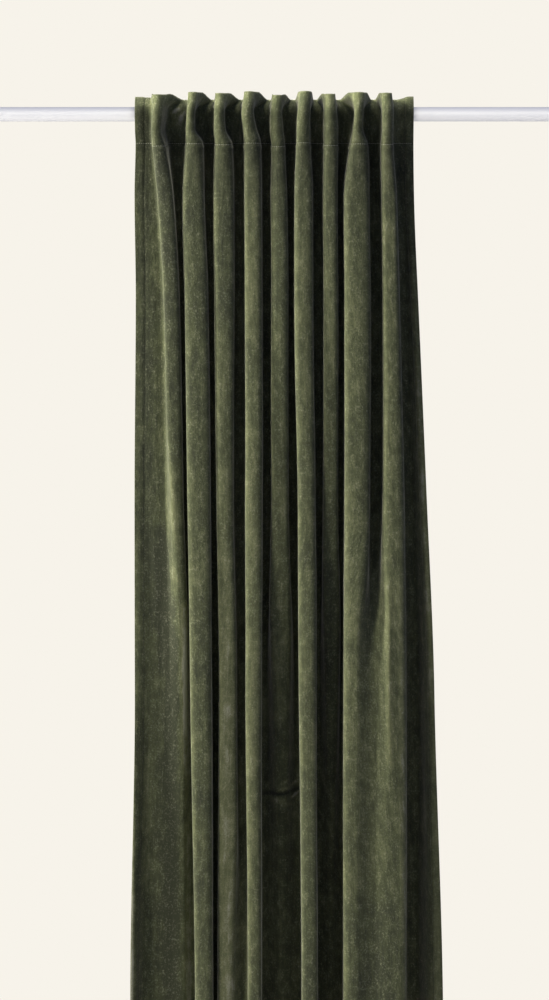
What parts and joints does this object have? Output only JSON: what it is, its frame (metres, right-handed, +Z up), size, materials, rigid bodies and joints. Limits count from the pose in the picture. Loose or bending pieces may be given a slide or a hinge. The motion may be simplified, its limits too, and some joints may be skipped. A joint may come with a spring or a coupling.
{
  "type": "velvet curtain on a rod",
  "caption": "Velvet curtain panel hung in deep folds from a plain round rod, held by narrow tabs on a heading tape behind it.",
  "frame": {"origin": "the middle of the rod's axis, at the middle of the pictured heading's width", "axes": "+X along the rod to the right as seen from the front, -Y towards the room and the folds' fronts, +Z up"},
  "size_m": [1.2, 0.1279, 2.5035],
  "materials": {
    "velvet": "brushed moss-green velvet",
    "webbing": "plain woven tape",
    "white_enamel": "satin white paint"
  },
  "bodies": {
    "root": {"curtain_panel": "velvet", "heading_tape": "webbing", "back_tab_01": "webbing", "back_tab_02": "webbing", "back_tab_03": "webbing", "back_tab_04": "webbing", "back_tab_05": "webbing", "back_tab_06": "webbing", "back_tab_07": "webbing", "back_tab_08": "webbing", "back_tab_09": "webbing", "back_tab_10": "webbing", "rod": "white_enamel"}
  },
  "joints": []
}
